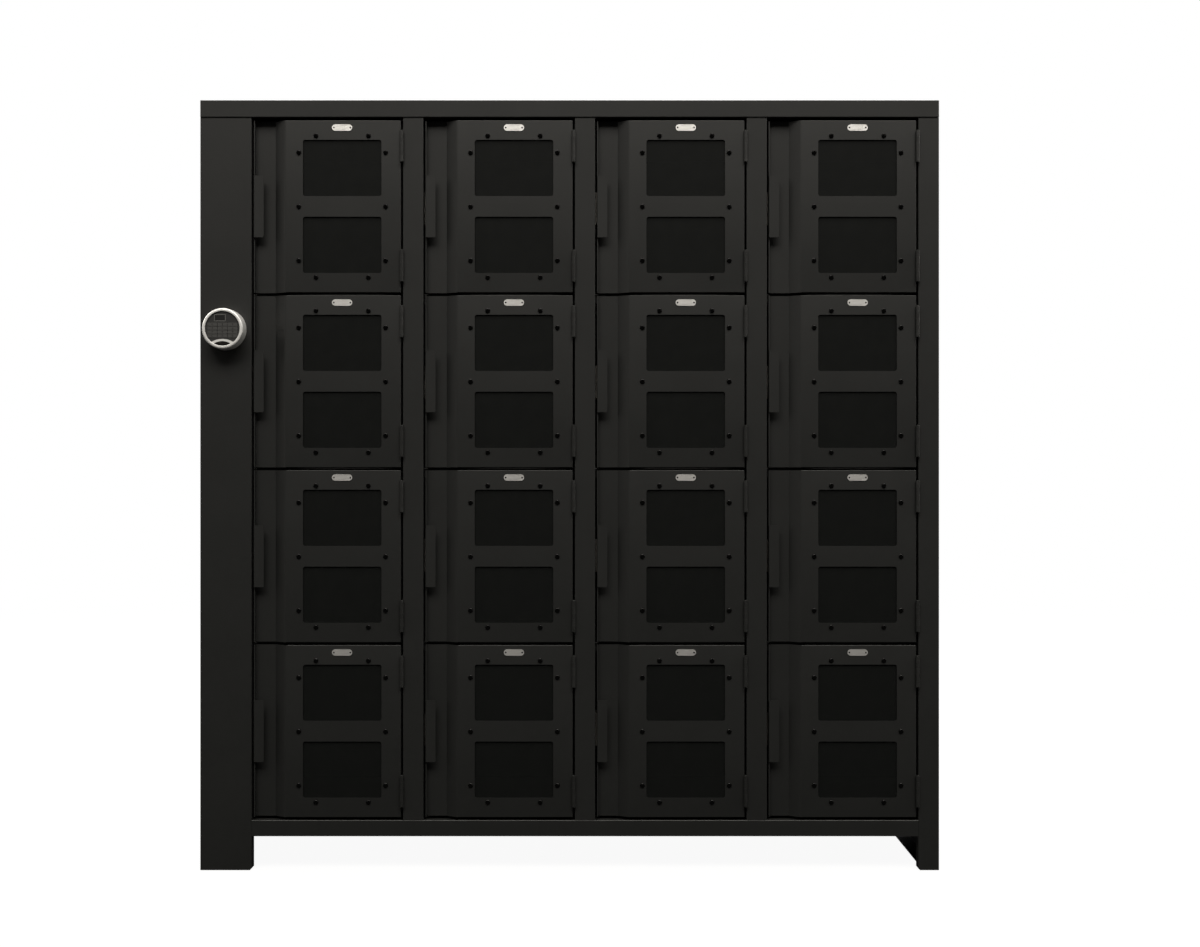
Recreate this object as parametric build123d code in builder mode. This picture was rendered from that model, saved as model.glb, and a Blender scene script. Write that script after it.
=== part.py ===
"""Multi-tier locker: a sheet steel cabinet with four columns of four windowed doors.

Sizes are in millimetres. The origin is at the centre of the bottom of the overall box, +Z is up,
+X is to the right of a person who faces the doors, and the doors face -Y.
"""
import os
from math import atan2, tan

from build123d import *

# Cabinet: widths from left to right, heights from the floor up, and the depth of the body
column_count = 4
tier_count = 4
control_face = 132.2
post_face = 53.4
mullion_face = 52.5
cell_width = 385.0
door_gap = 5.0
row_gap = 7.6
leg_height = 87.4
rail_height = 41.3
tier_pitch = 450.6
header_height = 44.0
header_proud = 2.5
body_depth = 610.0

# Sheet steel
shell_thickness = 2.7
liner_thickness = 1.9
bend_radius = 3.0
edge_radius = 1.8
header_edge_radius = 2.0
header_fold = 12.0

# Front posts, mullions and feet
post_side_depth = 45.0
post_return_depth = 32.0
leg_chamfer = 4.5
foot_flange_width = 41.0
anchor_hole_diameter = 12.5
anchor_inset_front = 75.0
anchor_inset_back = 75.0
anchor_inset_side = 22.0
base_skirt_height = 25.0
shelf_lip_height = 25.0
shelf_rise = 3.0

# Door skin, with a trough down its left side for the hand
trough_depth = 20.0
trough_floor_width = 53.5
trough_slope_width = 27.7
slope_radius = 10.0
lip_setback = 6.0
door_return_depth = 28.0
door_edge_radius = 1.0
pull_length = 159.0
pull_width = 26.3
pull_corner_radius = 4.0

# Window openings, the pane behind them and its screws
window_width = 202.4
window_height = 145.0
window_bar = 53.1
window_corner_radius = 6.0
window_centre_right = 230.9
pane_thickness = 4.5
pane_margin = 9.0
screw_side_offset = 111.8
screw_side_rise = 139.0
screw_end_offset = 67.6
screw_end_rise = 182.3
screw_shank_diameter = 5.0
screw_head_diameter = 12.6
screw_head_height = 3.6
screw_rim_radius = 2.4
screw_clearance = 0.25
nut_width = 8.0
nut_height = 4.0

# Number plate
plate_length = 52.2
plate_height = 16.6
plate_thickness = 1.2
plate_drop = 22.5
rivet_offset = 21.2
rivet_head_diameter = 4.2
rivet_shank_diameter = 2.4
rivet_height = 0.9
rivet_taper = 20

# Hinges: five knuckles on a pin, in the gap at the door's right edge
hinge_length = 79.5
hinge_offset = 154.0
knuckle_count = 5
knuckle_diameter = 10.4
knuckle_gap = 0.3
pin_diameter = 5.0
pin_clearance = 0.06
pin_head_diameter = 8.6
pin_head_height = 1.4
leaf_gap = 1.0
leaf_depth = 26.0

# Latches behind the mullions, and the strikers on the doors
latch_reach = 6.0
latch_depth = 52.0
latch_height = 84.0
latch_setback = 2.0
latch_corner_radius = 2.0
latch_wall = 2.5
bolt_setback = 12.0
bolt_width = 9.0
bolt_height = 14.0
bolt_length = 12.0
bolt_proud = 1.5
bolt_bevel = 5.0
bolt_clearance = 0.3
plunger_diameter = 8.0
coil_diameter = 22.0
coil_length = 15.0
striker_inset = 12.0
striker_wire_diameter = 6.0
striker_reach = 36.0
striker_span = 24.0
striker_foot_width = 16.0
striker_foot_length = 46.0
striker_foot_thickness = 3.0

# Keypad on the control column
keypad_height = 1391.8
keypad_radius = 52.3
keypad_base_radius = 53.0
keypad_protrusion = 42.0
keypad_edge_radius = 4.5
keypad_inner_radius = 0.8
keypad_wall = 4.5
keypad_lip_depth = 6.0
keypad_window_radius = 44.5
keypad_fit = 0.3
face_recess = 3.0
face_flange_thickness = 4.0
bezel_recess = 0.6
bezel_rise = 26.9
bezel_arc_radius = 55.6
lens_length = 40.5
lens_height = 10.6
lens_drop = 37.9
lens_pocket_depth = 3.6
lens_thickness = 2.0
display_width = 28.0
display_height = 16.4
display_left = 6.5
display_rise = 27.3
display_pocket_depth = 1.6
display_thickness = 1.2
key_columns = 3
key_rows = 4
key_pitch_across = 26.0
key_pitch_down = 9.8
key_gap = 1.0
key_edge_margin = 1.8
key_field_top = 15.4
key_proud = 0.8
key_travel = 0.8
key_pocket_depth = 5.6
key_clearance = 0.25
keypad_cable_hole = 20.0

# Controller in the chase behind the control column
controller_width = 62.0
controller_depth = 220.0
controller_height = 320.0
controller_setback = 160.0
controller_drop = 180.0
controller_lid_thickness = 3.0

# Sizes that follow from the ones above
column_pitch = cell_width + door_gap + mullion_face
overall_width = (control_face + door_gap / 2 + column_count * cell_width
                 + (column_count - 1) * (door_gap + mullion_face) + door_gap / 2 + post_face)
header_bottom = leg_height + rail_height + row_gap + tier_count * tier_pitch
overall_height = header_bottom + header_height
base_top = leg_height + rail_height
left_face = -overall_width / 2
right_face = overall_width / 2
front_face = (keypad_protrusion - body_depth) / 2
back_face = front_face + body_depth
control_edge = left_face + control_face
post_edge = right_face - post_face
door_width = cell_width - door_gap
door_height = tier_pitch - row_gap
wall_left = left_face + shell_thickness
wall_right = right_face - shell_thickness
liner_back = back_face - liner_thickness
shelf_front = front_face + post_return_depth
leaf_thickness = (door_gap - leaf_gap) / 2
hinge_axis_y = front_face - knuckle_diameter / 2
pane_width = 2 * (screw_side_offset + pane_margin)
pane_height = 2 * (screw_end_rise + pane_margin)
keypad_x = (left_face + control_edge) / 2


def left_gap_x(column):
    """Centre of the gap at the left edge of a column's doors."""
    return control_edge + door_gap / 2 + column * column_pitch


def hinge_x(column):
    """Hinge axis of a column's doors, at the centre of the gap at their right edge."""
    return left_gap_x(column) + cell_width


def mullion_x(column):
    """Centre of the strip at the left of a column; at column 0 it lies inside the control column."""
    return left_gap_x(column) - (door_gap + mullion_face) / 2


def gap_z(level):
    """Height of the gap under a tier, counted from the bottom."""
    return base_top + row_gap / 2 + level * tier_pitch


def door_z(row):
    """Height of the middle of a row's doors, rows counted from the top."""
    return gap_z(tier_count - row) + tier_pitch / 2


def save(part, name):
    """Name a finished piece and write its file."""
    part.label = name
    export_step(part, f"parts/{name}.step")


def group(*pieces):
    """Pieces that touch but stay separate solids in one file."""
    return Compound([solid for piece in pieces for solid in piece.solids()])


def copies(piece, places):
    """The same piece at each of the places."""
    return [piece.moved(Location(place)) for place in places]


def bent_section(*corners, side=Side.LEFT, radius=bend_radius, thickness=shell_thickness):
    """Section of a bent sheet: the folded line of one face, given thickness on one side of it."""
    with BuildSketch() as section:
        with BuildLine():
            FilletPolyline(*corners, radius=radius)
            offset(amount=thickness, side=side)
        make_face()
    return section.sketch


def edge_waste(radius):
    """What rounding an edge takes away: a square with one corner at the origin, less a quarter round."""
    with BuildSketch() as waste:
        Rectangle(radius, radius, align=(Align.MIN, Align.MIN))
        with Locations((radius, radius)):
            Circle(radius, mode=Mode.SUBTRACT)
    return waste.sketch


# The cap: top sheet with a skirt round its sides and back. The header fascia in front stands a little
# proud of the posts, and its bottom edge is folded back over their tops
def build_top_panel():
    inner_width = overall_width - 2 * shell_thickness
    inner_back = back_face - shell_thickness
    with BuildPart() as top_panel:
        with Locations((0, back_face, header_bottom)):
            Box(overall_width, body_depth + header_proud, header_height,
                align=(Align.CENTER, Align.MAX, Align.MIN))
        fillet(top_panel.edges().filter_by(Axis.Z), radius=bend_radius)
        fillet(top_panel.faces().sort_by(Axis.Z)[-1].edges(), radius=bend_radius / 2)
        fillet(top_panel.faces().sort_by(Axis.Z)[0].edges(), radius=header_edge_radius)
        with Locations((0, inner_back, header_bottom)):
            Box(inner_width, inner_back - front_face - header_fold, header_height - shell_thickness,
                align=(Align.CENTER, Align.MAX, Align.MIN), mode=Mode.SUBTRACT)
        with Locations((0, inner_back, header_bottom + shell_thickness)):
            Box(inner_width, inner_back - front_face + header_proud - shell_thickness,
                header_height - 2 * shell_thickness,
                align=(Align.CENTER, Align.MAX, Align.MIN), mode=Mode.SUBTRACT)
    return top_panel.part


# Side panels, each with a flange along the floor that takes the anchor bolts
def build_side_panel(direction):
    """direction is -1 for the left side and 1 for the right side."""
    outer_x = direction * overall_width / 2
    hole_x = outer_x - direction * anchor_inset_side
    with BuildPart() as side_panel:
        with BuildSketch(Plane.XZ.offset(-back_face)):
            add(bent_section((outer_x, header_bottom), (outer_x, 0),
                             (outer_x - direction * foot_flange_width, 0),
                             side=Side.RIGHT if direction > 0 else Side.LEFT))
        extrude(amount=body_depth - post_side_depth)
        with Locations((hole_x, front_face + anchor_inset_front, 0),
                       (hole_x, back_face - anchor_inset_back, 0)):
            Cylinder(anchor_hole_diameter / 2, 4 * shell_thickness, mode=Mode.SUBTRACT)
    return side_panel.part


def build_back_panel():
    with BuildPart() as back_panel:
        with Locations((0, back_face, leg_height)):
            Box(overall_width - 2 * shell_thickness, liner_thickness, header_bottom - leg_height,
                align=(Align.CENTER, Align.MAX, Align.MIN))
    return back_panel.part


def leg_corner(edge_x, direction):
    """The bevel cut off the inner bottom corner of a leg, from the leg's edge towards its face."""
    with BuildSketch(Plane.XZ.offset(-front_face - post_side_depth)) as corner:
        with BuildLine():
            Polyline((edge_x, 0), (edge_x + direction * leg_chamfer, 0), (edge_x, leg_chamfer),
                     close=True)
        make_face()
    return corner.sketch


# The wide front post at the left, which carries the keypad, and the narrow one at the right
def build_control_column():
    side_back = front_face + post_side_depth
    with BuildPart() as control_column:
        with BuildSketch():
            add(bent_section((left_face, side_back), (left_face, front_face),
                             (control_edge, front_face), (control_edge, shelf_front),
                             radius=edge_radius))
        extrude(amount=header_bottom)
        extrude(leg_corner(control_edge, -1), amount=2 * post_side_depth, mode=Mode.SUBTRACT)
        with BuildSketch(Plane.XZ.offset(-front_face - 2 * shell_thickness)):
            with Locations((keypad_x, keypad_height)):
                Circle(keypad_cable_hole / 2)
        extrude(amount=4 * shell_thickness, mode=Mode.SUBTRACT)
    return control_column.part


def build_right_post():
    side_back = front_face + post_side_depth
    with BuildPart() as right_post:
        with BuildSketch():
            add(bent_section((post_edge, shelf_front), (post_edge, front_face),
                             (right_face, front_face), (right_face, side_back),
                             radius=edge_radius))
        extrude(amount=header_bottom)
        extrude(leg_corner(post_edge, 1), amount=2 * post_side_depth, mode=Mode.SUBTRACT)
    return right_post.part


# Mullions between the door columns: channels that are open at the back
def build_mullions():
    with BuildPart() as mullions:
        for column in range(1, column_count):
            left = mullion_x(column) - mullion_face / 2
            right = mullion_x(column) + mullion_face / 2
            with BuildSketch(Plane.XY.offset(base_top)):
                add(bent_section((left, shelf_front), (left, front_face), (right, front_face),
                                 (right, shelf_front), radius=edge_radius))
            extrude(amount=header_bottom - base_top)
    return mullions.part


# Floor of the bottom tier. Between the posts its front edge comes forward and folds down as the rail
def build_base_panel():
    rail_width = post_edge - control_edge
    rail_centre = (post_edge + control_edge) / 2
    with BuildPart() as base_panel:
        with BuildSketch(Plane.YZ.offset(control_edge)):
            add(bent_section((shelf_front, base_top), (front_face, base_top), (front_face, leg_height),
                             radius=edge_radius))
        extrude(amount=rail_width)
        with Locations((0, shelf_front, base_top)):
            Box(wall_right - wall_left, liner_back - shelf_front, shell_thickness,
                align=(Align.CENTER, Align.MIN, Align.MAX))
        with Locations((rail_centre, liner_back, base_top)):
            Box(rail_width, shell_thickness, base_skirt_height, align=(Align.CENTER, Align.MAX, Align.MAX))
    return base_panel.part


# Upright partitions: one behind the control column and one behind each mullion
def build_dividers():
    divider_front = front_face + shell_thickness
    with BuildPart() as dividers:
        for column in range(column_count):
            with Locations((mullion_x(column), divider_front, base_top)):
                Box(liner_thickness, liner_back - divider_front, header_bottom - base_top,
                    align=(Align.CENTER, Align.MIN, Align.MIN))
    return dividers.part


def cell_walls(column):
    """The two walls that a column's shelves run between."""
    left = mullion_x(column) + liner_thickness / 2
    if column == column_count - 1:
        return left, wall_right
    return left, mullion_x(column + 1) - liner_thickness / 2


# Shelves, and the ceiling over the top tier: trays with a lip turned down in front
def build_shelves():
    with BuildPart() as shelves:
        for column in range(column_count):
            left, right = cell_walls(column)
            for level in range(1, tier_count + 1):
                top = header_bottom if level == tier_count else gap_z(level) + shelf_rise
                with BuildSketch(Plane.YZ.offset(left)):
                    add(bent_section((liner_back, top), (shelf_front, top),
                                     (shelf_front, top - shelf_lip_height),
                                     thickness=liner_thickness))
                extrude(amount=right - left)
    return shelves.part


# Hinges: a leaf on the door, a leaf on the frame and a headed pin
knuckle_height = (hinge_length - (knuckle_count - 1) * knuckle_gap) / knuckle_count


def build_hinge_leaf(first_knuckle, direction):
    """Half a hinge on its own axis: a leaf that runs back in the gap, and every second knuckle.

    direction is -1 for the door's leaf and 1 for the frame's.
    """
    knuckle_radius = knuckle_diameter / 2
    leaf_x = direction * (leaf_gap + leaf_thickness) / 2
    with BuildPart() as leaf:
        with Locations((leaf_x, knuckle_radius + knuckle_gap, 0)):
            Box(leaf_thickness, leaf_depth, hinge_length, align=(Align.CENTER, Align.MIN, Align.CENTER))
        for knuckle in range(first_knuckle, knuckle_count, 2):
            bottom = knuckle * (knuckle_height + knuckle_gap) - hinge_length / 2
            with Locations((0, 0, bottom)):
                Cylinder(knuckle_radius, knuckle_height, align=(Align.CENTER, Align.CENTER, Align.MIN))
            with Locations((leaf_x, 0, bottom)):
                Box(leaf_thickness, knuckle_radius + 2 * knuckle_gap, knuckle_height,
                    align=(Align.CENTER, Align.MIN, Align.MIN))
        Cylinder(pin_diameter / 2 + pin_clearance, 2 * hinge_length, mode=Mode.SUBTRACT)
    return leaf.part


def hinge_places():
    """The centre of every hinge on the cabinet."""
    return [(hinge_x(column), hinge_axis_y, door_z(row) + side * hinge_offset)
            for column in range(column_count) for row in range(1, tier_count + 1) for side in (1, -1)]


def build_frame_hinges():
    return group(*copies(build_hinge_leaf(1, 1), hinge_places()))


def build_hinge_pins():
    head_seat = (hinge_length + knuckle_gap) / 2
    with BuildPart() as pin:
        Cylinder(pin_diameter / 2, 2 * head_seat)
        for side in (1, -1):
            with Locations((0, 0, side * (head_seat + pin_head_height / 2))):
                Cylinder(pin_head_diameter / 2, pin_head_height)
        fillet(pin.edges().group_by(Axis.Z)[-1] + pin.edges().group_by(Axis.Z)[0],
               radius=pin_head_height / 2)
    return group(*copies(pin.part, hinge_places()))


# Latches, one for each door, bolted to the partition behind the mullion. The bolt shoots to the right,
# through the striker, and is drawn back here
striker_x = door_gap / 2 + striker_inset
latch_left = liner_thickness / 2 - (door_gap + mullion_face) / 2
latch_right = latch_reach - door_gap / 2
latch_inside = latch_left + latch_wall


def build_latch_housing():
    """A case with a slot in its right side for the bolt."""
    latch_width = latch_right - latch_left
    with BuildPart() as housing:
        with Locations((latch_left, 0, 0)):
            Box(latch_width, latch_depth, latch_height, align=(Align.MIN, Align.MIN, Align.CENTER))
        fillet(housing.edges().filter_by(Axis.Z), radius=latch_corner_radius)
        with Locations((latch_inside, latch_wall, 0)):
            Box(latch_width - 2 * latch_wall, latch_depth - 2 * latch_wall, latch_height - 2 * latch_wall,
                align=(Align.MIN, Align.MIN, Align.CENTER), mode=Mode.SUBTRACT)
        with Locations((latch_right, bolt_setback, 0)):
            Box(4 * latch_wall, bolt_width + 2 * bolt_clearance, bolt_height + 2 * bolt_clearance,
                mode=Mode.SUBTRACT)
    return housing.part


def build_bolt():
    """A bolt with a slanted nose, on the plunger of its coil."""
    bolt_end = latch_right + bolt_proud
    plunger_length = bolt_end - bolt_length - latch_inside - bolt_clearance
    with BuildPart() as bolt:
        with Locations((bolt_end, bolt_setback, 0)):
            Box(bolt_length, bolt_width, bolt_height, align=(Align.MAX, Align.CENTER, Align.CENTER))
        nose = bolt.edges().filter_by(Axis.Z).group_by(Axis.X)[-1].sort_by(Axis.Y)[0]
        chamfer(nose, length=bolt_bevel)
        with Locations((bolt_end - bolt_length, bolt_setback, 0)):
            Cylinder(plunger_diameter / 2, plunger_length, rotation=(0, 90, 0),
                     align=(Align.CENTER, Align.CENTER, Align.MAX))
    return bolt.part


def build_coil():
    with BuildPart() as coil:
        with Locations((latch_inside, latch_wall + coil_diameter / 2, 0)):
            Cylinder(coil_diameter / 2, coil_length, rotation=(0, 90, 0),
                     align=(Align.CENTER, Align.CENTER, Align.MIN))
        with Locations((latch_inside, bolt_setback, 0)):
            Cylinder(plunger_diameter / 2 + bolt_clearance, coil_length, rotation=(0, 90, 0),
                     align=(Align.CENTER, Align.CENTER, Align.MIN), mode=Mode.SUBTRACT)
    return coil.part


def build_latches():
    places = [(left_gap_x(column), shelf_front + latch_setback, door_z(row))
              for column in range(column_count) for row in range(1, tier_count + 1)]
    return group(*copies(build_latch_housing(), places), *copies(build_bolt(), places),
                 *copies(build_coil(), places))


# Doors. Each piece is made in the door's own frame: x from the centre of the gap at the left edge,
# y back from the front face and z from the middle of the door
door_left = door_gap / 2
door_right = door_left + door_width
trough_floor_back = trough_depth + shell_thickness
slope_angle = atan2(trough_depth, trough_slope_width)
fold_shift = shell_thickness * tan(slope_angle / 2)
slope_top = door_left + trough_floor_width + trough_slope_width
face_left = slope_top + slope_radius * tan(slope_angle / 2)


def door_section():
    """Section of the skin along its back: lip, trough, slope, face and the fold at the hinge edge.

    The slope meets the face in a soft bend.
    """
    return bent_section((door_left, 0), (door_left, trough_floor_back),
                        (door_left + trough_floor_width + fold_shift, trough_floor_back),
                        (slope_top + fold_shift, shell_thickness),
                        (door_right - shell_thickness, shell_thickness),
                        (door_right - shell_thickness, door_return_depth),
                        side=Side.RIGHT, radius=[bend_radius, bend_radius, slope_radius - shell_thickness,
                                                 bend_radius - shell_thickness])


def screw_places():
    """Screws round the pane, from the centre of the windows."""
    sides = [(side * screw_side_offset, rise) for side in (-1, 1)
             for rise in (-screw_side_rise, 0, screw_side_rise)]
    ends = [(side * screw_end_offset, end * screw_end_rise) for side in (-1, 1) for end in (-1, 1)]
    return sides + ends


def build_door_skin():
    face_width = door_right - face_left
    with BuildPart() as skin:
        with BuildSketch(Plane.XY.offset(-door_height / 2)):
            add(door_section())
        extrude(amount=door_height)
        with Locations(*[((face_left + door_right) / 2, 0, side * (door_height - shell_thickness) / 2)
                         for side in (1, -1)]):
            Box(face_width - 2 * shell_thickness, door_return_depth, shell_thickness,
                align=(Align.CENTER, Align.MIN, Align.CENTER))
        with Locations((door_left, 0, 0)):
            Box(2 * shell_thickness, 2 * lip_setback, door_height, mode=Mode.SUBTRACT)
            Box(shell_thickness, lip_setback, pull_length, align=(Align.MIN, Align.MIN, Align.CENTER))
            Box(pull_width, shell_thickness, pull_length, align=(Align.MIN, Align.MIN, Align.CENTER))
        pull_edge = door_left + pull_width
        fillet(skin.edges().filter_by(Axis.Y).filter_by_position(Axis.X, pull_edge, pull_edge),
               radius=pull_corner_radius)
        with BuildSketch(Plane.XY.offset(-pull_length / 2)):
            with Locations((door_left, 0)):
                add(edge_waste(bend_radius))
        extrude(amount=pull_length, mode=Mode.SUBTRACT)
        with BuildSketch(Plane.YZ.offset(face_left)):
            with Locations(Location((0, door_height / 2, 0), (0, 0, -90)),
                           Location((0, -door_height / 2, 0))):
                add(edge_waste(door_edge_radius))
        extrude(amount=face_width, mode=Mode.SUBTRACT)
        with BuildSketch(Plane.XZ.offset(-2 * shell_thickness)):
            with Locations((window_centre_right, 0)):
                with GridLocations(0, window_height + window_bar, 1, 2):
                    RectangleRounded(window_width, window_height, window_corner_radius)
                with Locations(*screw_places()):
                    Circle(screw_shank_diameter / 2 + screw_clearance)
        extrude(amount=4 * shell_thickness, mode=Mode.SUBTRACT)
    return skin.part


def build_striker():
    """A wire staple on a foot, at the back of the trough."""
    foot_back = trough_floor_back + striker_foot_thickness
    wire_end = foot_back + striker_reach - striker_wire_diameter / 2
    with BuildPart() as striker:
        with Locations((striker_x, trough_floor_back, 0)):
            Box(striker_foot_width, striker_foot_thickness, striker_foot_length,
                align=(Align.CENTER, Align.MIN, Align.CENTER))
        with BuildLine():
            wire = FilletPolyline((striker_x, foot_back - striker_foot_thickness / 2, striker_span / 2),
                                  (striker_x, wire_end, striker_span / 2),
                                  (striker_x, wire_end, -striker_span / 2),
                                  (striker_x, foot_back - striker_foot_thickness / 2, -striker_span / 2),
                                  radius=striker_wire_diameter)
        with BuildSketch(Plane(origin=wire @ 0, z_dir=wire % 0)):
            Circle(striker_wire_diameter / 2)
        sweep(path=wire)
    return striker.part


def build_door():
    """Skin, striker and the door halves of both hinges."""
    leaf_places = [(cell_width, -knuckle_diameter / 2, side * hinge_offset) for side in (1, -1)]
    return group(build_door_skin(), build_striker(), *copies(build_hinge_leaf(0, -1), leaf_places))


def build_screw():
    """Pan head with a round rim on the front of the door, shank through the skin and the pane."""
    shank_length = shell_thickness + pane_thickness + nut_height + screw_clearance
    with BuildPart() as screw:
        with BuildSketch(Plane.XZ):
            Circle(screw_head_diameter / 2)
        extrude(amount=screw_head_height)
        fillet(screw.edges().group_by(Axis.Y)[0], radius=screw_rim_radius)
        with BuildSketch(Plane.XZ):
            Circle(screw_shank_diameter / 2)
        extrude(amount=-shank_length)
    return screw.part


def build_nut():
    with BuildPart() as nut:
        with BuildSketch(Plane.XZ.offset(-shell_thickness - pane_thickness)):
            RegularPolygon(nut_width / 2, 6, major_radius=False)
            Circle(screw_shank_diameter / 2, mode=Mode.SUBTRACT)
        extrude(amount=-nut_height)
    return nut.part


plate_z = tier_pitch / 2 - plate_drop


def build_number_plate():
    """A blank plate with round ends and a hole for each rivet."""
    with BuildPart() as number_plate:
        with BuildSketch(Plane.XZ):
            with Locations((window_centre_right, plate_z)):
                SlotOverall(plate_length, plate_height)
                with GridLocations(2 * rivet_offset, 0, 2, 1):
                    Circle(rivet_shank_diameter / 2, mode=Mode.SUBTRACT)
        extrude(amount=plate_thickness)
    return number_plate.part


def build_rivet():
    with BuildPart() as rivet:
        with BuildSketch(Plane.XZ.offset(plate_thickness)):
            Circle(rivet_head_diameter / 2)
        extrude(amount=rivet_height, taper=rivet_taper)
        with BuildSketch(Plane.XZ):
            Circle(rivet_shank_diameter / 2)
        extrude(amount=plate_thickness)
    return rivet.part


def build_pane():
    with BuildPart() as pane:
        with BuildSketch(Plane.XZ.offset(-shell_thickness)):
            with Locations((window_centre_right, 0)):
                Rectangle(pane_width, pane_height)
                with Locations(*screw_places()):
                    Circle(screw_shank_diameter / 2 + screw_clearance, mode=Mode.SUBTRACT)
        extrude(amount=-pane_thickness)
    return pane.part


def build_window():
    """What is fastened to a door: the pane, its screws and nuts, and the number plate with its rivets."""
    screws = [(window_centre_right + across, 0, rise) for across, rise in screw_places()]
    rivets = [(window_centre_right + side * rivet_offset, 0, plate_z) for side in (-1, 1)]
    return group(build_pane(), *copies(build_screw(), screws), *copies(build_nut(), screws),
                 build_number_plate(), *copies(build_rivet(), rivets))


# Keypad: a round housing, a dark face with its display and reader lens, and keys that press in
def bezel_outline(grow=0.0):
    """The part of the window under the arc of the bezel."""
    with BuildSketch() as bezel:
        Circle(keypad_window_radius)
        with Locations((0, -bezel_rise - bezel_arc_radius)):
            Circle(bezel_arc_radius + grow, mode=Mode.INTERSECT)
    return bezel.sketch


def lens_outline(shrink=0.0):
    """An eye shape between two arcs."""
    rise = lens_height / 2
    arc_radius = ((lens_length / 2) ** 2 + rise ** 2) / (2 * rise)
    with BuildSketch() as lens:
        with Locations((0, -lens_drop - arc_radius + rise)):
            Circle(arc_radius - shrink)
        with Locations((0, -lens_drop + arc_radius - rise)):
            Circle(arc_radius - shrink, mode=Mode.INTERSECT)
    return lens.sketch


def key_outline(column, row, grow=0.0):
    """A key of the grid, trimmed to the round window and to the bezel."""
    across = (column - (key_columns - 1) / 2) * key_pitch_across
    rise = key_field_top - (row + 0.5) * key_pitch_down
    with BuildSketch() as key:
        with Locations((across, rise)):
            Rectangle(key_pitch_across - key_gap + 2 * grow, key_pitch_down - key_gap + 2 * grow)
        Circle(keypad_window_radius - key_edge_margin + grow, mode=Mode.INTERSECT)
        with Locations((0, -bezel_rise - bezel_arc_radius)):
            Circle(bezel_arc_radius + key_edge_margin - grow, mode=Mode.SUBTRACT)
    return key.sketch


def keypad_plane(proud):
    """The plane across the keypad at a distance in front of the control column."""
    return Plane((keypad_x, front_face - proud, keypad_height), x_dir=(1, 0, 0), z_dir=(0, -1, 0))


lip_back = keypad_protrusion - keypad_lip_depth
face_front = keypad_protrusion - face_recess
keys = [(column, row) for row in range(key_rows) for column in range(key_columns)]


def build_keypad_housing():
    with BuildPart() as housing:
        with BuildSketch(keypad_plane(0)):
            Circle(keypad_base_radius)
        with BuildSketch(keypad_plane(keypad_protrusion)):
            Circle(keypad_radius)
        loft()
        with BuildSketch(keypad_plane(0)):
            Circle(keypad_base_radius - keypad_wall)
        extrude(amount=lip_back, mode=Mode.SUBTRACT)
        with BuildSketch(keypad_plane(lip_back)):
            Circle(keypad_window_radius)
        extrude(amount=keypad_lip_depth, mode=Mode.SUBTRACT)
        front_edges = housing.edges().filter_by(GeomType.CIRCLE).group_by(Axis.Y)[0].sort_by(SortBy.RADIUS)
        fillet(front_edges[-1], radius=keypad_edge_radius)
        fillet(front_edges[0], radius=keypad_inner_radius)
        with BuildSketch(keypad_plane(lip_back)):
            add(bezel_outline())
        extrude(amount=keypad_lip_depth - bezel_recess)
        with BuildSketch(keypad_plane(keypad_protrusion - lens_pocket_depth)):
            add(lens_outline())
        extrude(amount=lens_pocket_depth, mode=Mode.SUBTRACT)
    return housing.part


def build_keypad_face():
    """Face plate with a pocket for each key, the display and the lens of the reader."""
    with BuildPart() as plate:
        with BuildSketch(keypad_plane(lip_back - face_flange_thickness)):
            Circle(keypad_base_radius - keypad_wall - keypad_fit)
        extrude(amount=face_flange_thickness)
        with BuildSketch(keypad_plane(lip_back)):
            Circle(keypad_window_radius - keypad_fit)
            add(bezel_outline(keypad_fit), mode=Mode.SUBTRACT)
        extrude(amount=face_front - lip_back)
        with BuildSketch(keypad_plane(face_front - key_pocket_depth)):
            for column, row in keys:
                add(key_outline(column, row, key_clearance))
        extrude(amount=key_pocket_depth, mode=Mode.SUBTRACT)
        with BuildSketch(keypad_plane(face_front - display_pocket_depth)):
            with Locations((-display_left, display_rise)):
                Rectangle(display_width, display_height)
        extrude(amount=display_pocket_depth, mode=Mode.SUBTRACT)
    with BuildPart() as display:
        with BuildSketch(keypad_plane(face_front - display_pocket_depth)):
            with Locations((-display_left, display_rise)):
                Rectangle(display_width - keypad_fit, display_height - keypad_fit)
        extrude(amount=display_thickness)
    with BuildPart() as lens:
        with BuildSketch(keypad_plane(keypad_protrusion - lens_pocket_depth)):
            add(lens_outline(keypad_fit / 2))
        extrude(amount=lens_thickness)
    return group(plate.part, display.part, lens.part)


def build_key(column, row):
    key_back = face_front - key_pocket_depth + key_travel + key_clearance
    with BuildPart() as key:
        with BuildSketch(keypad_plane(key_back)):
            add(key_outline(column, row))
        extrude(amount=face_front + key_proud - key_back)
    return key.part


# Controller for the latches, on the chase side of the first partition
def build_controller_box():
    wall_x = mullion_x(0) - liner_thickness / 2
    centre_z = keypad_height - controller_drop
    with BuildPart() as case:
        with Locations((wall_x, front_face + controller_setback, centre_z)):
            Box(controller_width, controller_depth, controller_height,
                align=(Align.MAX, Align.MIN, Align.CENTER))
    with BuildPart() as lid:
        with Locations((wall_x - controller_width, front_face + controller_setback, centre_z)):
            Box(controller_lid_thickness, controller_depth, controller_height,
                align=(Align.MAX, Align.MIN, Align.CENTER))
    return group(case.part, lid.part)


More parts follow.
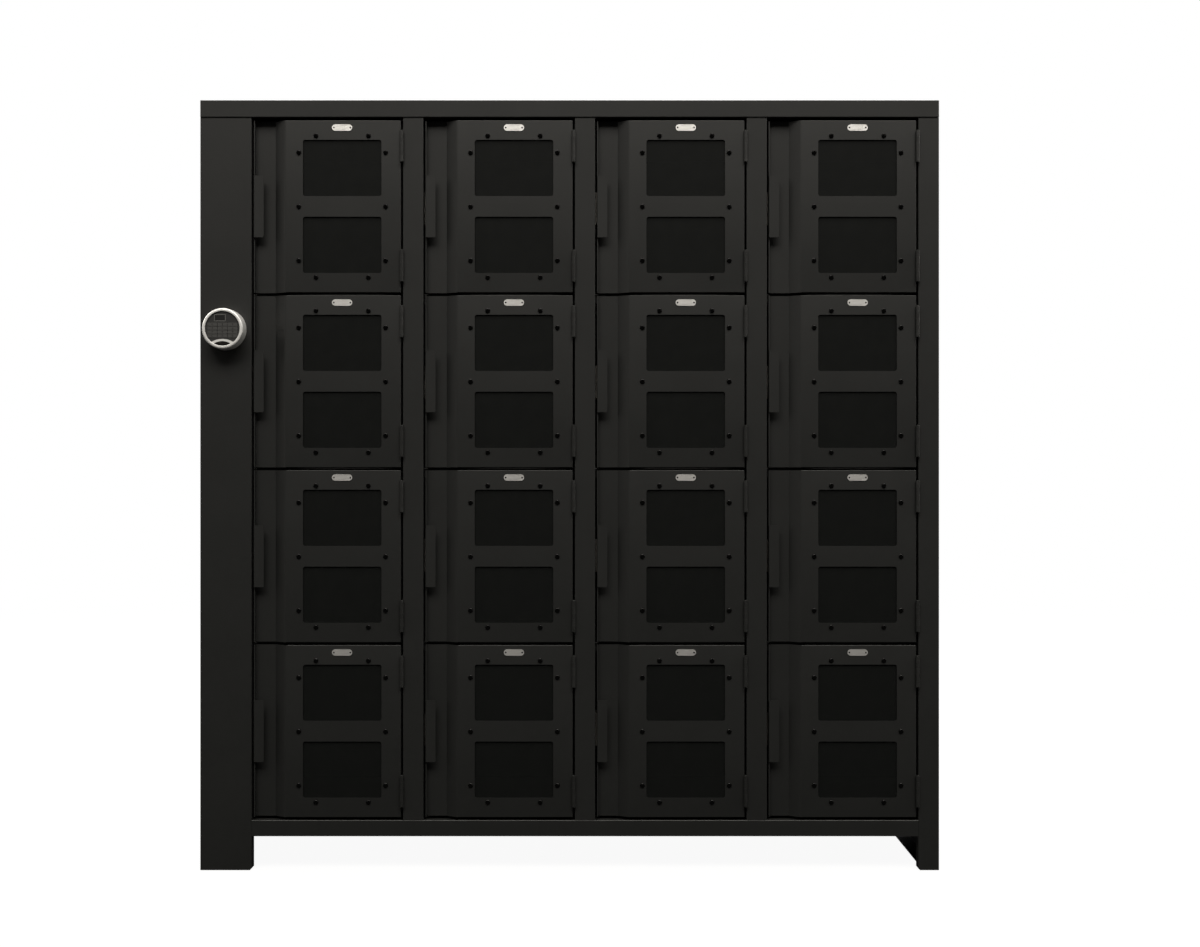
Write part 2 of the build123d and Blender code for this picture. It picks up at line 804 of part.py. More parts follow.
os.makedirs("parts", exist_ok=True)
save(build_top_panel(), "top_panel")
save(build_side_panel(-1), "side_panel_left")
save(build_side_panel(1), "side_panel_right")
save(build_back_panel(), "back_panel")
save(build_control_column(), "control_column")
save(build_right_post(), "right_post")
save(build_mullions(), "mullions")
save(build_base_panel(), "base_panel")
save(build_dividers(), "dividers")
save(build_shelves(), "shelves")
save(build_frame_hinges(), "frame_hinge_leaves")
save(build_hinge_pins(), "hinge_pins")
save(build_latches(), "latches")
save(build_keypad_housing(), "keypad_housing")
save(build_keypad_face(), "keypad_face")
save(build_controller_box(), "controller_box")

for column, row in keys:
    save(build_key(column, row), f"key_r{row + 1}c{column + 1}")

door = build_door()
window = build_window()
for column in range(column_count):
    for row in range(1, tier_count + 1):
        place = Location((left_gap_x(column), front_face, door_z(row)))
        save(door.moved(place), f"door_r{row}c{column + 1}")
        save(window.moved(place), f"window_r{row}c{column + 1}")
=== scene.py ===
"""Multi-tier locker: finishes, window fittings, keypad details, light and camera round the CAD model.

Lengths are in metres, +Z is up, +X is to the right of a person who faces the doors, and the doors
face -Y. Colours are linear. A fitting's mesh is made once, about its own middle, and placed on every
door.
"""
from math import cos, pi, radians, sin, sqrt

import bmesh
import bpy
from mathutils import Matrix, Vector


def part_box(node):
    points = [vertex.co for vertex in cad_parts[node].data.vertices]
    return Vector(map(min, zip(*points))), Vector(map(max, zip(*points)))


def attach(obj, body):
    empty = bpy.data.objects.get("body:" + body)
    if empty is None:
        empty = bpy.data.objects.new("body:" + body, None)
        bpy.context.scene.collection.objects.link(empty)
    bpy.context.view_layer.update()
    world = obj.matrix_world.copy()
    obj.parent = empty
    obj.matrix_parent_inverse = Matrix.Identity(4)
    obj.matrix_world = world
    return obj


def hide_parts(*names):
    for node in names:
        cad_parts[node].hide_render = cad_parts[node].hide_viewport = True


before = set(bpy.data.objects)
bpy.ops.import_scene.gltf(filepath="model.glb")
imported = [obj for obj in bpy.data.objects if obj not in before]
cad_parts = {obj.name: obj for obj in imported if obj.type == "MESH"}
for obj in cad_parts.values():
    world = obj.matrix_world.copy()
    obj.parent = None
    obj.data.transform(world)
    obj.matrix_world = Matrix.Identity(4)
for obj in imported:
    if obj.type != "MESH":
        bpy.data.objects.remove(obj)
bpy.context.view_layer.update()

mm = 0.001
scene = bpy.context.scene
tiers = columns = range(1, 5)
doors = [f"r{tier}c{column}" for tier in tiers for column in columns]

# Window fittings, as in the CAD model
skin_thickness = 2.7 * mm
pane_width = 241.6 * mm
pane_height = 382.6 * mm
pane_thickness = 4.5 * mm
pane_corner_radius = 4.0 * mm
pane_bevel = 0.5 * mm
screw_side_offset = 111.8 * mm
screw_side_rise = 139.0 * mm
screw_end_offset = 67.6 * mm
screw_end_rise = 182.3 * mm
screw_head_radius = 6.3 * mm
screw_head_height = 3.6 * mm
screw_face_drop = 0.2 * mm
screw_rim_radius = 2.4 * mm
screw_rim_depth = 2.6 * mm
screw_shank_radius = 2.5 * mm
screw_clearance = 0.25 * mm
screw_end_proud = 1.0 * mm
nut_width = 8.0 * mm
nut_height = 4.0 * mm
nut_chamfer = 0.6 * mm
plate_length = 52.2 * mm
plate_height = 16.6 * mm
plate_thickness = 1.2 * mm
plate_rise = 202.8 * mm
rivet_offset = 21.2 * mm
rivet_radius = 2.1 * mm
rivet_height = 0.9 * mm

# The number plate's sunk border
border_length = 25.8 * mm
border_height = 11.2 * mm
border_groove = 0.8 * mm
border_corner_radius = 1.2 * mm
border_relief = 0.3 * mm

# Keypad's display, in its place on the CAD model's face. Its screen and frame are thin plates.
face_recess = 3.0 * mm
display_width = 28.0 * mm
display_height = 16.4 * mm
display_left = 6.5 * mm
display_rise = 27.3 * mm
display_plate_thickness = 0.3 * mm
display_plate_bevel = 0.08 * mm
screen_inset = 0.4 * mm
screen_recess = 0.1 * mm
screen_corner_radius = 0.8 * mm
display_frame_outset = 0.5 * mm
display_frame_inset = 0.7 * mm
display_frame_proud = 0.3 * mm
display_frame_corner_radius = 1.4 * mm

# The reader's cover lies a little proud of the bezel and reaches just past its pocket
cover_length = 42.0 * mm
cover_height = 11.4 * mm
cover_thickness = 1.6 * mm
cover_bevel = 0.12 * mm
cover_drop = 38.3 * mm
cover_recess = 0.45 * mm

# Print on the keys, as a thin relief. A capital of the font is this share of its size.
key_texts = ["1", "2", "3", "4", "5", "6", "7", "8", "9", "C", "0", "E"]
key_columns = 3
print_height = 5.2 * mm
print_half_depth = 0.04 * mm
print_lift = 0.03 * mm
capital_share = 0.7

# Steps of rounded outlines, and the angle from which an edge of a turned shape is sharp
corner_steps = 6
hole_steps = 24
eye_steps = 16
rim_steps = 8
sharp_angle = radians(35)

# A door's face bulges between its top and bottom by door_crown, and a number plate leans back by
# plate_lean at its top. The trough and its slope end between these shares of the door's width.
door_crown = 4.2 * mm
plate_lean = 1.3 * mm
trough_share = 0.205
bulge_share = 0.222

# Camera: level, square to the doors, a little to the right of the middle
camera_x = 78.15 * mm
camera_height = 1021.6 * mm
camera_distance = 4292.5 * mm
camera_lens = 50.0
camera_sensor = 36.0

# Key light: a wide softbox far above and in front, which gives each shadow in the photograph its length
key_elevation = radians(55)
key_turn = radians(4)
key_level = 0.96
key_lamp = {"distance": 20.0, "width": 22.0, "height": 8.5}

# The other lamps, and the height that all of them face
far_lamp = {"distance": 20.0, "width": 12.0, "height": 8.0}
near_lamp = {"distance": 10.0, "width": 6.0, "height": 4.0}
back_lamp = {"distance": 12.0, "width": 10.0, "height": 5.0}
aim_height = 1.0
light_tint = (1.045, 1.0, 0.925)

# World: dim in front, pale behind. It turns pale between these parts of a direction along Y and Z.
front_level = 0.01
back_level = 0.45
back_start, back_end = -0.05, 0.5
sky_start, sky_end = 0.12, 0.4

# Floor: it fades to white with the distance from the locker, and what the locker mirrors of it turns
# white between two distances behind the locker
floor_half_size = 30.0
fade_start, fade_end = 2.5, 9.0
fade_near_share = 0.94
mirror_start, mirror_end = 1.5, 4.0
floor_seen = (0.8, 0.8, 0.8, 1)
floor_felt = (0.03, 0.03, 0.03, 1)
white = (1, 1, 1, 1)


# Meshes
def mesh_object(name, mesh, material, body, location):
    """A piece of the object, shown at a place and riding on a body."""
    piece = bpy.data.objects.new(name, mesh)
    scene.collection.objects.link(piece)
    if not mesh.materials:
        mesh.materials.append(material)
    piece.location = location
    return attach(piece, body)


def mesh_of_curve(name, curve):
    """The mesh of a curve or text, by way of an object that doesn't stay."""
    holder = bpy.data.objects.new(name, curve)
    mesh = bpy.data.meshes.new_from_object(holder)
    bpy.data.objects.remove(holder)
    return mesh


def flat_shape(name, outlines, depth, bevel=0.0):
    """A plate in the XZ plane with its front at y = 0 and its back at y = depth.

    The first outline is the edge of the plate. An outline inside another one is a hole, and one inside
    a hole is a plate again.
    """
    curve = bpy.data.curves.new(name, "CURVE")
    curve.dimensions = "2D"
    curve.fill_mode = "BOTH"
    curve.extrude = depth / 2 - bevel
    curve.bevel_depth = bevel
    curve.bevel_resolution = 2
    curve.offset = -bevel
    for outline in outlines:
        spline = curve.splines.new("POLY")
        spline.points.add(len(outline) - 1)
        for point, (x, z) in zip(spline.points, outline):
            point.co = (x, z, 0, 1)
        spline.use_cyclic_u = True
    mesh = mesh_of_curve(name, curve)
    for vertex in mesh.vertices:
        x, z, lift = vertex.co
        vertex.co = (x, depth / 2 - lift, z)
    mesh.name = name
    return mesh


def full_turn(steps):
    """Angles that divide a full turn."""
    return [2 * pi * step / steps for step in range(steps)]


def revolved(name, profile, places, steps=32, smooth=True):
    """A profile of (radius, y) points turned round the Y axis, repeated at places (x, z)."""
    work = bmesh.new()
    for place_x, place_z in places:
        rings = []
        for radius, y in profile:
            if radius == 0:
                rings.append([work.verts.new((place_x, y, place_z))])
                continue
            ring = [(place_x + radius * cos(angle), y, place_z + radius * sin(angle))
                    for angle in full_turn(steps)]
            rings.append([work.verts.new(corner) for corner in ring])
        for first, second in zip(rings, rings[1:]):
            for step in range(steps):
                following = (step + 1) % steps
                corners = [first[step % len(first)], first[following % len(first)],
                           second[following % len(second)], second[step % len(second)]]
                work.faces.new(list(dict.fromkeys(corners)))
    bmesh.ops.recalc_face_normals(work, faces=work.faces)
    mesh = bpy.data.meshes.new(name)
    work.to_mesh(mesh)
    work.free()
    for polygon in mesh.polygons:
        polygon.use_smooth = smooth
    if smooth:
        mesh.set_sharp_from_angle(angle=sharp_angle)
    return mesh


def joined(name, *meshes):
    """Several meshes as one, in the order given."""
    work = bmesh.new()
    for mesh in meshes:
        work.from_mesh(mesh)
    result = bpy.data.meshes.new(name)
    work.to_mesh(result)
    work.free()
    return result


def moved_back(mesh, distance):
    """A mesh moved along +Y, away from the front."""
    for vertex in mesh.vertices:
        vertex.co.y += distance
    return mesh


# Outlines, as lists of (x, z) points
def rounded_rectangle(width, height, radius):
    """A rectangle about the origin with round corners."""
    points = []
    for quarter, (side, end) in enumerate(((1, 1), (-1, 1), (-1, -1), (1, -1))):
        middle_x = side * (width / 2 - radius)
        middle_z = end * (height / 2 - radius)
        for step in range(corner_steps + 1):
            angle = (quarter + step / corner_steps) * pi / 2
            points.append((middle_x + radius * cos(angle), middle_z + radius * sin(angle)))
    return points


def circle(radius, centre):
    """A circle about a point."""
    x, z = centre
    return [(x + radius * cos(angle), z + radius * sin(angle)) for angle in full_turn(hole_steps)]


def eye_shape(length, height):
    """Two arcs that meet in a point at each end."""
    rise = height / 2
    arc_radius = ((length / 2) ** 2 + rise ** 2) / (2 * rise)
    upper = []
    for step in range(eye_steps):
        x = length / 2 - length * step / eye_steps
        upper.append((x, sqrt(arc_radius ** 2 - x ** 2) - arc_radius + rise))
    return upper + [(-x, -z) for x, z in upper]


# Shader nodes
def connect(tree, value, socket):
    """Link a socket to another one, or set it to a number or colour."""
    if isinstance(value, bpy.types.NodeSocket):
        tree.links.new(value, socket)
    else:
        socket.default_value = value


def linked(tree, kind, **inputs):
    """A new shader node with its sockets set or linked."""
    node = tree.nodes.new(kind)
    for name, value in inputs.items():
        connect(tree, value, node.inputs[name.replace("_", " ")])
    return node


def maths(tree, operation, *values):
    """A sum, difference, product or larger value of numbers or sockets."""
    node = tree.nodes.new("ShaderNodeMath")
    node.operation = operation
    for socket, value in zip(node.inputs, values):
        connect(tree, value, socket)
    return node.outputs[0]


def ramp(tree, value, start, end, low=0.0, high=1.0):
    """A value that runs smoothly from low to high between start and end."""
    node = tree.nodes.new("ShaderNodeMapRange")
    node.interpolation_type = "SMOOTHSTEP"
    for socket, setting in zip(node.inputs, (value, start, end, low, high)):
        connect(tree, setting, socket)
    return node.outputs["Result"]


def mixed(tree, kind, share, first, second):
    """A colour (RGBA) or direction (VECTOR) between two others, by the second one's share."""
    mix = tree.nodes.new("ShaderNodeMix")
    mix.data_type = kind
    for name, value in (("Factor", share), ("A", first), ("B", second)):
        connect(tree, value, mix.inputs[name])
    return mix.outputs["Result"]


def mixed_shaders(tree, share, first, second):
    """A surface between two others, by the second one's share."""
    mix = tree.nodes.new("ShaderNodeMixShader")
    for socket, value in zip(mix.inputs, (share, first.outputs[0], second.outputs[0])):
        connect(tree, value, socket)
    return mix


def coordinates(tree, kind):
    """The X, Y and Z of a point in metres (Object), or as shares of its piece's box (Generated).

    In the world's tree, Generated gives those of a direction instead.
    """
    place = tree.nodes.new("ShaderNodeTexCoord")
    return linked(tree, "ShaderNodeSeparateXYZ", Vector=place.outputs[kind]).outputs


def grain(tree, scale, detail, stretch=(1, 1, 1)):
    """Noise fixed to the piece, with its size given in grains per metre."""
    place = tree.nodes.new("ShaderNodeTexCoord")
    mapping = linked(tree, "ShaderNodeMapping", Vector=place.outputs["Object"], Scale=stretch)
    noise = linked(tree, "ShaderNodeTexNoise", Vector=mapping.outputs["Vector"], Scale=scale, Detail=detail)
    return noise.outputs["Fac"]


def vary(tree, shader, factor, colour, spread):
    """Base colour that runs from darker to lighter with a noise."""
    dark = [channel * (1 - spread) for channel in colour]
    light = [channel * (1 + spread) for channel in colour]
    tree.links.new(mixed(tree, "RGBA", factor, (*dark, 1), (*light, 1)), shader.inputs["Base Color"])


def vary_roughness(tree, shader, factor, middle, spread):
    """Roughness on both sides of a middle value, with a noise, which mostly lies between 0.3 and 0.7."""
    roughness = ramp(tree, factor, 0.3, 0.7, middle - spread, middle + spread)
    tree.links.new(roughness, shader.inputs["Roughness"])


def bump(tree, shader, height, strength, distance):
    """Relief on the surface. It adds to relief that the shader has already."""
    relief = linked(tree, "ShaderNodeBump", Strength=strength, Distance=distance, Height=height)
    normal = shader.inputs["Normal"]
    if normal.is_linked:
        tree.links.new(normal.links[0].from_socket, relief.inputs["Normal"])
    tree.links.new(relief.outputs["Normal"], normal)


def crown(tree, shader):
    """A face that bulges a little between its top and bottom, right of the trough, which stays straight."""
    share = coordinates(tree, "Generated")
    from_middle = maths(tree, "SUBTRACT", share["Z"], 0.5)
    # 0 at the middle and 1 at the top and bottom
    drop = maths(tree, "MULTIPLY", maths(tree, "MULTIPLY", from_middle, from_middle), 4.0)
    bulge = linked(tree, "ShaderNodeBump", Strength=1.0, Distance=door_crown,
                   Height=maths(tree, "SUBTRACT", 1.0, drop))
    straight = tree.nodes.new("ShaderNodeNewGeometry")
    normal = mixed(tree, "VECTOR", ramp(tree, share["X"], trough_share, bulge_share),
                   straight.outputs["Normal"], bulge.outputs["Normal"])
    tree.links.new(normal, shader.inputs["Normal"])


# Materials
def node_material(name, colour, roughness, metallic=0.0, specular=0.5):
    """A material with its node tree and its Principled shader."""
    material = bpy.data.materials.new(name)
    material.use_nodes = True
    tree = material.node_tree
    shader = tree.nodes["Principled BSDF"]
    shader.inputs["Base Color"].default_value = (*colour, 1)
    shader.inputs["Roughness"].default_value = roughness
    shader.inputs["Metallic"].default_value = metallic
    shader.inputs["Specular IOR Level"].default_value = specular
    return material, tree, shader


def powder_coat(name, colour, crowned=False):
    """Charcoal powder coat with a fine orange peel."""
    roughness = 0.49
    material, tree, shader = node_material(name, colour, roughness)
    if crowned:
        crown(tree, shader)
    vary(tree, shader, grain(tree, scale=60, detail=4), colour, spread=0.3)
    vary_roughness(tree, shader, grain(tree, scale=9, detail=3), roughness, spread=0.008)
    bump(tree, shader, grain(tree, scale=330, detail=3), strength=0.35, distance=0.4 * mm)
    return material


def plated_steel(name, colour):
    """Zinc plate: pale, with soft cloudy patches."""
    roughness = 0.45
    material, tree, shader = node_material(name, colour, roughness, metallic=1.0)
    vary(tree, shader, grain(tree, scale=40, detail=3), colour, spread=0.12)
    vary_roughness(tree, shader, grain(tree, scale=120, detail=2), roughness, spread=0.06)
    return material


def brushed_metal(name, colour):
    """Satin metal with fine brush lines along X, leaning back a little."""
    roughness = 0.385
    material, tree, shader = node_material(name, colour, roughness, metallic=1.0)
    share = coordinates(tree, "Generated")
    bump(tree, shader, maths(tree, "SUBTRACT", 1.0, share["Z"]), strength=1.0, distance=plate_lean)
    lines = grain(tree, scale=900, detail=2, stretch=(0.04, 1, 1))
    vary(tree, shader, lines, colour, spread=0.05)
    vary_roughness(tree, shader, lines, roughness, spread=0.025)
    return material


def satin_plastic(name, colour, roughness, scale=700, **shine):
    """Moulded plastic or paint with a very fine grain. shine sets how metallic or specular it is."""
    material, tree, shader = node_material(name, colour, roughness, **shine)
    fine = grain(tree, scale, detail=2)
    vary(tree, shader, fine, colour, spread=0.06)
    bump(tree, shader, fine, strength=0.12, distance=0.1 * mm)
    return material


def black_oxide(name, colour):
    """Blackened steel of the screws, smooth enough for a small highlight."""
    roughness = 0.225
    material, tree, shader = node_material(name, colour, roughness, specular=0.18)
    vary_roughness(tree, shader, grain(tree, scale=500, detail=2), roughness, spread=0.035)
    return material


def smoked_pane(name, colour):
    """Smoked polycarbonate: dark, satin, and half clear."""
    roughness = 0.5
    material, tree, shader = node_material(name, colour, roughness, specular=0.24)
    shader.inputs["Alpha"].default_value = 0.42
    vary(tree, shader, grain(tree, scale=14, detail=2), colour, spread=0.06)
    vary_roughness(tree, shader, grain(tree, scale=30, detail=2), roughness, spread=0.02)
    return material


def dark_glass(name, colour):
    """Glossy cover of the display and of the reader."""
    roughness = 0.125
    material, tree, shader = node_material(name, colour, roughness, specular=0.3)
    vary(tree, shader, grain(tree, scale=200, detail=2), colour, spread=0.1)
    vary_roughness(tree, shader, grain(tree, scale=300, detail=2), roughness, spread=0.025)
    return material


charcoal = (0.0037, 0.0041, 0.0038)
coat = powder_coat("powder_coat", charcoal)
door_coat = powder_coat("door_coat", charcoal, crowned=True)
inside_coat = powder_coat("inside_coat", (0.0052, 0.0056, 0.0053))
zinc = plated_steel("zinc_plate", (0.40, 0.39, 0.36))
nameplate_metal = brushed_metal("brushed_plate", (0.93, 0.92, 0.90))
screw_black = black_oxide("screw_black", (0.001, 0.001, 0.001))
pane_smoke = smoked_pane("pane_smoke", (0.0052, 0.0060, 0.0056))
silver = satin_plastic("keypad_silver", (0.70, 0.70, 0.69), 0.48, metallic=0.5)
keypad_dark = satin_plastic("keypad_dark", (0.016, 0.016, 0.016), 0.45)
key_plastic = satin_plastic("key_plastic", (0.036, 0.036, 0.035), 0.5)
key_print = satin_plastic("key_print", (0.001, 0.001, 0.001), 0.7, specular=0.05)
frame_print = satin_plastic("display_frame", (0.12, 0.12, 0.115), 0.5)
display_glass = dark_glass("display_glass", (0.018, 0.018, 0.018))
lens_glass = dark_glass("lens_glass", (0.012, 0.011, 0.010))
controller_paint = satin_plastic("controller_paint", (0.12, 0.12, 0.115), 0.45, scale=400)

slot_materials = {
    "powder_coat": coat, "liner": inside_coat, "hinge_steel": coat, "pin_steel": coat,
    "latch_zinc": zinc, "keypad_silver": silver, "keypad_black": keypad_dark, "key_grey": key_plastic,
    "controller_grey": controller_paint, "window_tint": pane_smoke,
}


def dress_cad_nodes():
    """Give every CAD node the finish of its material slot, and the doors the crowned one."""
    for name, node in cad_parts.items():
        for slot in node.material_slots:
            finish = slot_materials[slot.material.name]
            slot.material = door_coat if finish is coat and name.startswith("door_") else finish


# Window fittings
def screw_places():
    """Screws round the pane, from the middle of the windows."""
    sides = [(side * screw_side_offset, rise) for side in (-1, 1)
             for rise in (-screw_side_rise, 0, screw_side_rise)]
    ends = [(side * screw_end_offset, end * screw_end_rise) for side in (-1, 1) for end in (-1, 1)]
    return sides + ends


def pane_mesh():
    """A pane with round corners and a hole for each screw."""
    outline = rounded_rectangle(pane_width, pane_height, pane_corner_radius)
    holes = [circle(screw_shank_radius + screw_clearance, place) for place in screw_places()]
    return flat_shape("pane", [outline, *holes], pane_thickness, pane_bevel)


def screw_mesh():
    """Round heads, each with a slightly domed face and a rounded rim, and shanks through door and pane."""
    face_radius = screw_head_radius - screw_rim_radius
    shank_end = skin_thickness + pane_thickness + nut_height + screw_end_proud
    profile = [(face_radius * share, -screw_head_height + screw_face_drop * share ** 2)
               for share in (0, 0.35, 0.7)]
    for step in range(rim_steps + 1):
        turn = step / rim_steps * pi / 2
        profile.append((face_radius + screw_rim_radius * sin(turn),
                        -screw_head_height + screw_face_drop + screw_rim_depth * (1 - cos(turn))))
    profile += [(screw_head_radius, 0), (screw_shank_radius, 0),
                (screw_shank_radius, shank_end), (0, shank_end)]
    return revolved("screws", profile, screw_places())


def nut_mesh():
    """Hexagonal nuts behind the pane, with chamfered ends."""
    start = skin_thickness + pane_thickness
    end = start + nut_height
    corner = nut_width / sqrt(3)
    profile = [(screw_shank_radius, start), (corner, start), (corner, end - nut_chamfer),
               (corner - nut_chamfer, end), (screw_shank_radius, end)]
    return revolved("nuts", profile, screw_places(), steps=6, smooth=False)


def number_plate_mesh():
    """A blank plate with round ends and a fine sunk border."""
    # A little less than half the height, so that no two points of the outline meet
    end_radius = plate_height / 2 - 0.01 * mm
    edge = rounded_rectangle(plate_length, plate_height, end_radius)
    border = [rounded_rectangle(border_length - shrink, border_height - shrink, border_corner_radius)
              for shrink in (0, 2 * border_groove)]
    base = moved_back(flat_shape("plate_base", [edge], plate_thickness - border_relief), border_relief)
    front = flat_shape("plate_front", [edge, *border], border_relief)
    return joined("number_plate", base, front)


def rivet_mesh():
    """The two domed rivets of a number plate."""
    dome = [(0, -rivet_height), (rivet_radius * 0.55, -rivet_height * 0.85),
            (rivet_radius * 0.88, -rivet_height * 0.45), (rivet_radius, 0)]
    return revolved("rivets", dome, [(side * rivet_offset, 0) for side in (-1, 1)], steps=20)


def add_window_fittings():
    """Pane, screws, nuts, number plate and rivets on each door, in place of its CAD window node."""
    pane, screws, nuts = pane_mesh(), screw_mesh(), nut_mesh()
    plate, rivets = number_plate_mesh(), rivet_mesh()
    for door in doors:
        low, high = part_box(f"window_{door}")
        middle = Vector(((low.x + high.x) / 2, low.y + screw_head_height, low.z + pane_height / 2))
        pane_place = middle + Vector((0, skin_thickness, 0))
        plate_place = middle + Vector((0, -plate_thickness, plate_rise))
        body = f"door_{door}"
        fittings = [
            mesh_object(f"pane_{door}", pane, pane_smoke, body, pane_place),
            mesh_object(f"screws_{door}", screws, screw_black, body, middle),
            mesh_object(f"nuts_{door}", nuts, zinc, body, middle),
            mesh_object(f"number_plate_{door}", plate, nameplate_metal, body, plate_place),
            mesh_object(f"rivets_{door}", rivets, screw_black, body, plate_place),
        ]
        for piece in fittings:
            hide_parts(f"window_{door}")


# Keypad details
def display_outline(grow, corner_radius):
    """The display's outline, larger by grow on every side."""
    return rounded_rectangle(display_width + 2 * grow, display_height + 2 * grow, corner_radius)


def add_keypad_details():
    """The display's screen and printed frame, and the reader's cover."""
    low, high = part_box("keypad_housing")
    middle_x, middle_z = (low.x + high.x) / 2, (low.z + high.z) / 2
    face_y = low.y + face_recess
    display_x, display_z = middle_x - display_left, middle_z + display_rise

    screen = flat_shape("display_screen", [display_outline(-screen_inset, screen_corner_radius)],
                        display_plate_thickness, display_plate_bevel)
    mesh_object("display_screen", screen, display_glass, "cabinet",
                (display_x, face_y + screen_recess, display_z))

    edges = [display_outline(display_frame_outset, display_frame_corner_radius),
             display_outline(-display_frame_inset, screen_corner_radius)]
    display_frame = flat_shape("display_frame", edges, display_plate_thickness, display_plate_bevel)
    mesh_object("display_frame", display_frame, frame_print, "cabinet",
                (display_x, face_y - display_frame_proud, display_z))

    cover = flat_shape("reader_lens", [eye_shape(cover_length, cover_height)], cover_thickness, cover_bevel)
    mesh_object("reader_lens", cover, lens_glass, "cabinet",
                (middle_x, low.y + cover_recess, middle_z - cover_drop))


def key_label(text):
    """A printed character as a thin mesh in the XZ plane, about its own middle."""
    letters = bpy.data.curves.new("label", "FONT")
    letters.body = text
    letters.size = print_height / capital_share
    letters.align_x = "CENTER"
    letters.align_y = "CENTER"
    letters.extrude = print_half_depth
    mesh = mesh_of_curve("label", letters)
    for vertex in mesh.vertices:
        x, z, lift = vertex.co
        vertex.co = (x, -lift, z)
    return mesh


def add_key_labels():
    """The print on each key, which moves with it."""
    for place, text in enumerate(key_texts):
        key = f"key_r{place // key_columns + 1}c{place % key_columns + 1}"
        low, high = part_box(key)
        mesh_object(f"label_{key}", key_label(text), key_print, key,
                    ((low.x + high.x) / 2, low.y - print_lift, (low.z + high.z) / 2))


# Light, floor, background and camera
def mirrored(tree, ray):
    """1 for what metal and glass mirror or let through."""
    return maths(tree, "MAXIMUM", ray.outputs["Is Glossy Ray"], ray.outputs["Is Transmission Ray"])


def set_world():
    """White to the camera. Other rays see a dim studio in front and a pale one behind the locker."""
    world = bpy.data.worlds.new("studio")
    scene.world = world
    world.use_nodes = True
    tree = world.node_tree
    background = tree.nodes["Background"]
    background.inputs["Color"].default_value = white
    ray = tree.nodes.new("ShaderNodeLightPath")
    direction = coordinates(tree, "Generated")
    behind = maths(tree, "MULTIPLY", ramp(tree, direction["Y"], back_start, back_end),
                   ramp(tree, direction["Z"], sky_start, sky_end))
    level = ramp(tree, behind, 0.0, 1.0, front_level, back_level)
    seen = maths(tree, "MAXIMUM", ray.outputs["Is Camera Ray"],
                 maths(tree, "MULTIPLY", mirrored(tree, ray), behind))
    tree.links.new(maths(tree, "MAXIMUM", seen, level), background.inputs["Strength"])


def floor_mesh():
    """A large square at z = 0."""
    mesh = bpy.data.meshes.new("floor")
    corners = [(side * floor_half_size, end * floor_half_size, 0)
               for side, end in ((-1, -1), (1, -1), (1, 1), (-1, 1))]
    mesh.from_pydata(corners, [], [(0, 1, 2, 3)])
    return mesh


def floor_material():
    """Pale to the camera, fading to white. Other rays see it dim in front and white far behind."""
    material = bpy.data.materials.new("floor_pale")
    material.use_nodes = True
    tree = material.node_tree
    tree.nodes.remove(tree.nodes["Principled BSDF"])
    ray = tree.nodes.new("ShaderNodeLightPath")
    place = tree.nodes.new("ShaderNodeTexCoord")
    away = tree.nodes.new("ShaderNodeVectorMath")
    away.operation = "LENGTH"
    tree.links.new(place.outputs["Object"], away.inputs[0])
    lit = linked(tree, "ShaderNodeBsdfDiffuse", Color=floor_seen)
    dim = linked(tree, "ShaderNodeBsdfDiffuse", Color=floor_felt)
    glow = linked(tree, "ShaderNodeEmission", Color=white, Strength=1.0)

    fade = ramp(tree, away.outputs["Value"], fade_start, fade_end, fade_near_share, 1.0)
    behind = ramp(tree, coordinates(tree, "Object")["Y"], mirror_start, mirror_end)
    seen = mixed_shaders(tree, fade, lit, glow)
    felt = mixed_shaders(tree, maths(tree, "MULTIPLY", mirrored(tree, ray), behind), dim, glow)
    surface = mixed_shaders(tree, ray.outputs["Is Camera Ray"], felt, seen)
    tree.links.new(surface.outputs[0], tree.nodes["Material Output"].inputs["Surface"])
    material.cycles.emission_sampling = "NONE"
    return material


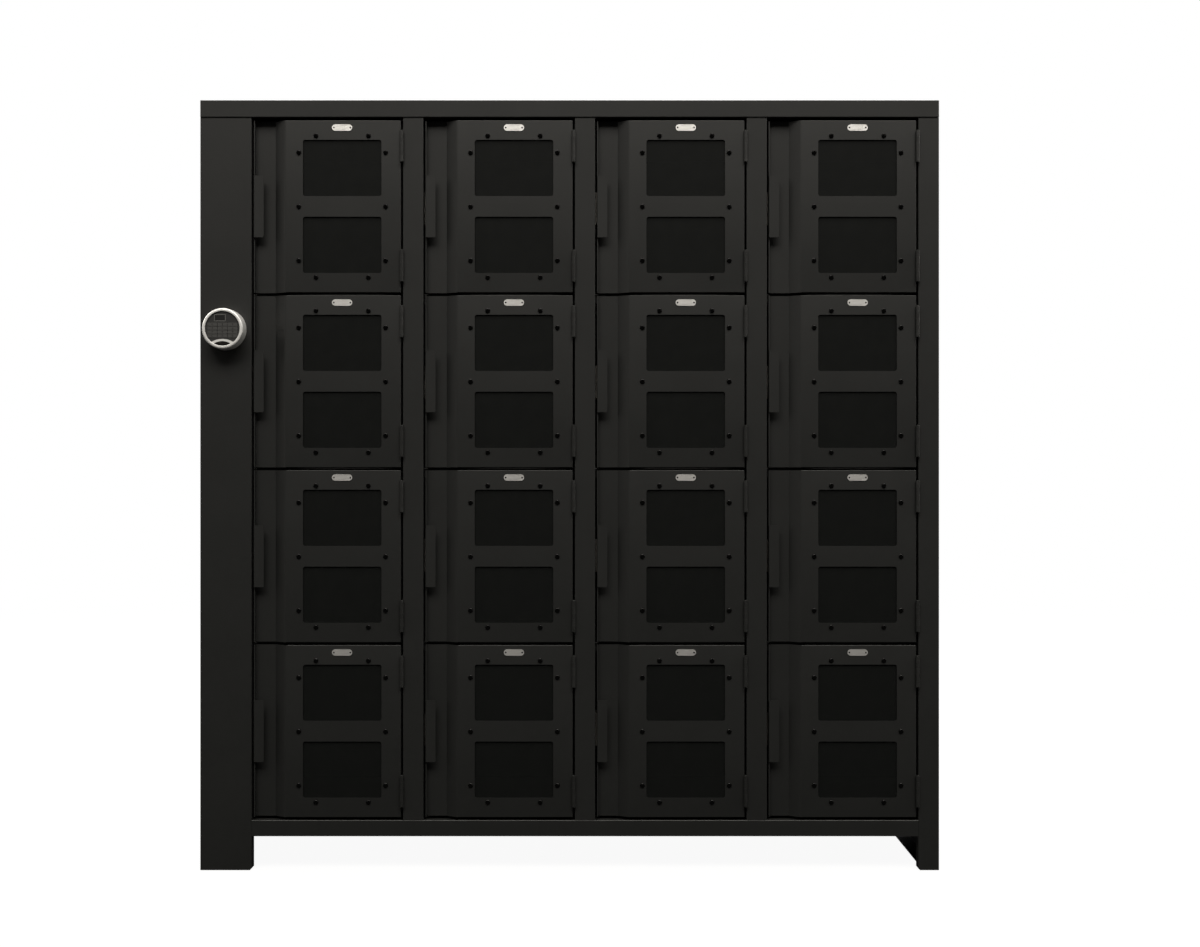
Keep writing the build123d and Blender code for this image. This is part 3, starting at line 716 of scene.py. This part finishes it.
def add_floor():
    """Pale floor with the locker's shadow. What the locker's front mirrors of it is dim, as its studio is."""
    mesh = floor_mesh()
    floor = bpy.data.objects.new("floor", mesh)
    scene.collection.objects.link(floor)
    mesh.materials.append(floor_material())


def direction_of(turn, elevation):
    """The way to a lamp that stands to the right of straight ahead by turn, and above it by elevation."""
    return sin(turn) * cos(elevation), -cos(turn) * cos(elevation), sin(elevation)


def add_softbox(name, direction, level, distance, width, height):
    """An area lamp that faces the locker. level is the light on a surface that faces the lamp, over pi."""
    lamp = bpy.data.lights.new(name, "AREA")
    lamp.shape = "RECTANGLE"
    lamp.size = width
    lamp.size_y = height
    lamp.energy = level * pi * pi * distance ** 2
    lamp.color = light_tint
    box = bpy.data.objects.new(name, lamp)
    scene.collection.objects.link(box)
    direction = Vector(direction).normalized()
    box.location = Vector((0, 0, aim_height)) + direction * distance
    box.rotation_euler = direction.to_track_quat("Z", "Y").to_euler()
    box.visible_camera = False


def add_lights():
    """The key gives a surface that faces the camera a level near 1. The others light the slopes, the
    sides and the back.
    """
    add_softbox("key", direction_of(key_turn, key_elevation), key_level / cos(key_elevation), **key_lamp)
    add_softbox("fill_left", (-1, -0.47, 0.75), 0.10, **far_lamp)
    add_softbox("fill_low", (-1, -0.35, 0.25), 0.06, **far_lamp)
    add_softbox("fill_right", (1, -0.47, 0.75), 0.07, **far_lamp)
    add_softbox("back", (0, 0.8, 1.3), 1.2, **back_lamp)
    add_softbox("edge_right", (1, -0.12, 0.35), 0.22, **near_lamp)
    add_softbox("side_left", (-1, 0.35, 0.6), 0.5, **near_lamp)
    add_softbox("side_right", (1, 0.35, 0.6), 0.5, **near_lamp)


def add_camera():
    """The camera of the photograph, at its distance from the front of the locker."""
    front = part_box("control_column")[0].y
    camera = bpy.data.objects.new("camera", bpy.data.cameras.new("camera"))
    scene.collection.objects.link(camera)
    camera.data.lens = camera_lens
    camera.data.sensor_width = camera_sensor
    camera.location = (camera_x, front - camera_distance, camera_height)
    camera.rotation_euler = (pi / 2, 0, 0)
    scene.camera = camera


dress_cad_nodes()
add_window_fittings()
add_keypad_details()
add_key_labels()
set_world()
add_floor()
add_lights()
add_camera()
scene.view_settings.view_transform = "Standard"
